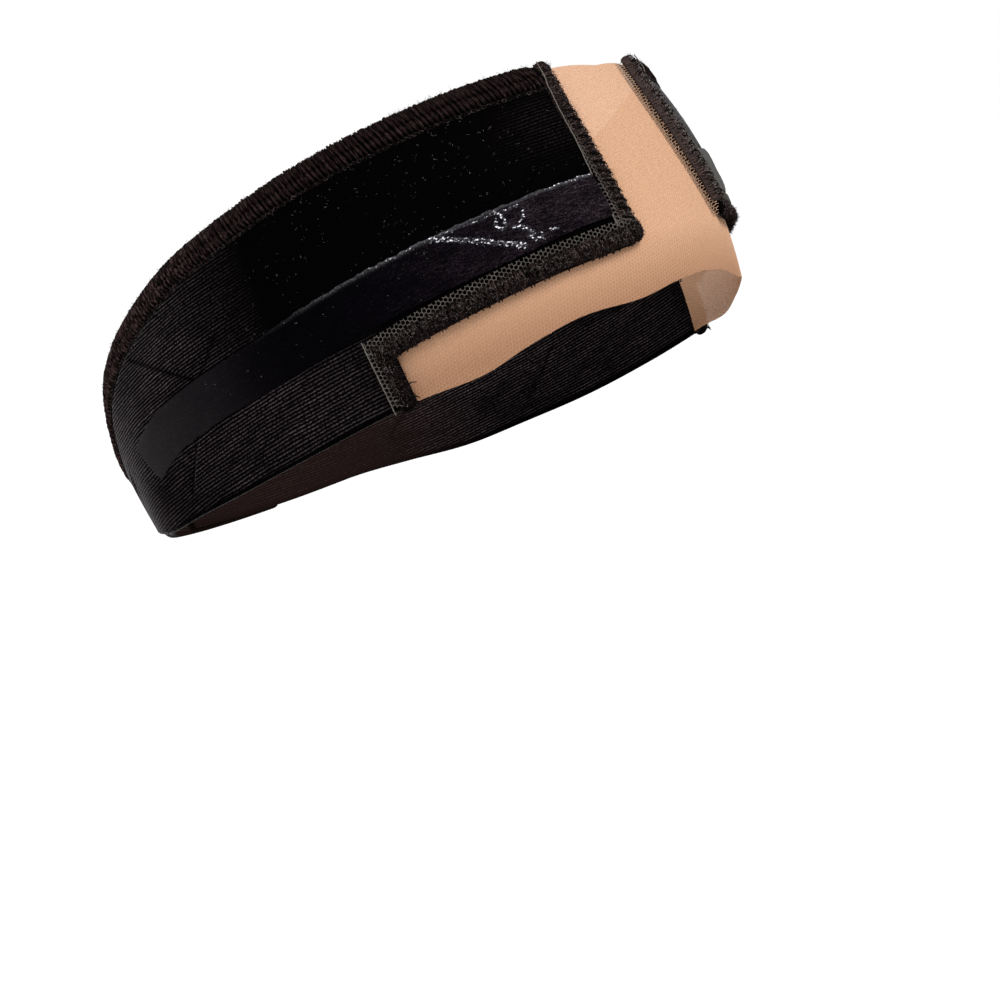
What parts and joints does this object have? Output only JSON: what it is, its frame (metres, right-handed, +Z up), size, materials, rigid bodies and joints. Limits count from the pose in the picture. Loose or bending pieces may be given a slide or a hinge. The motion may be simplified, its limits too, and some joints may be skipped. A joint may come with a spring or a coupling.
{
  "type": "wig grip band",
  "caption": "Stretch velvet band with a sheer lace front panel, hemmed cut-outs and a grip tape on each side, closed at the nape by a hook-and-loop overlap.",
  "frame": {"origin": "centre of the head that the band is worn on, at the height where the band's oval is widest", "axes": "+Z up as worn, -Y towards the forehead, -X towards the wearer's right; the band's oval is tilted so that its front is raised"},
  "size_m": [0.1538, 0.1753, 0.1391],
  "materials": {
    "lace": "fine flesh-coloured lace net, see-through",
    "velvet": "black stretch velvet, short pile over a fine ribbed knit",
    "thread": "brown-black overlock thread, woolly",
    "net": "grey honeycomb net",
    "film": "dark glossy grip film with a fine speckle",
    "hook_and_loop": "plain black hook-and-loop tape"
  },
  "bodies": {
    "root": {"lace_front": "lace", "velvet_band_right": "velvet", "top_roll_right": "thread", "front_hem_right": "thread", "lower_hem_right": "thread", "step_hem_right": "thread", "net_tape_right": "net", "grip_tape_right": "film", "velvet_band_left": "velvet", "top_roll_left": "thread", "front_hem_left": "thread", "lower_hem_left": "thread", "step_hem_left": "thread", "net_tape_left": "net", "grip_tape_left": "film", "hook_patch": "hook_and_loop"}
  },
  "joints": []
}
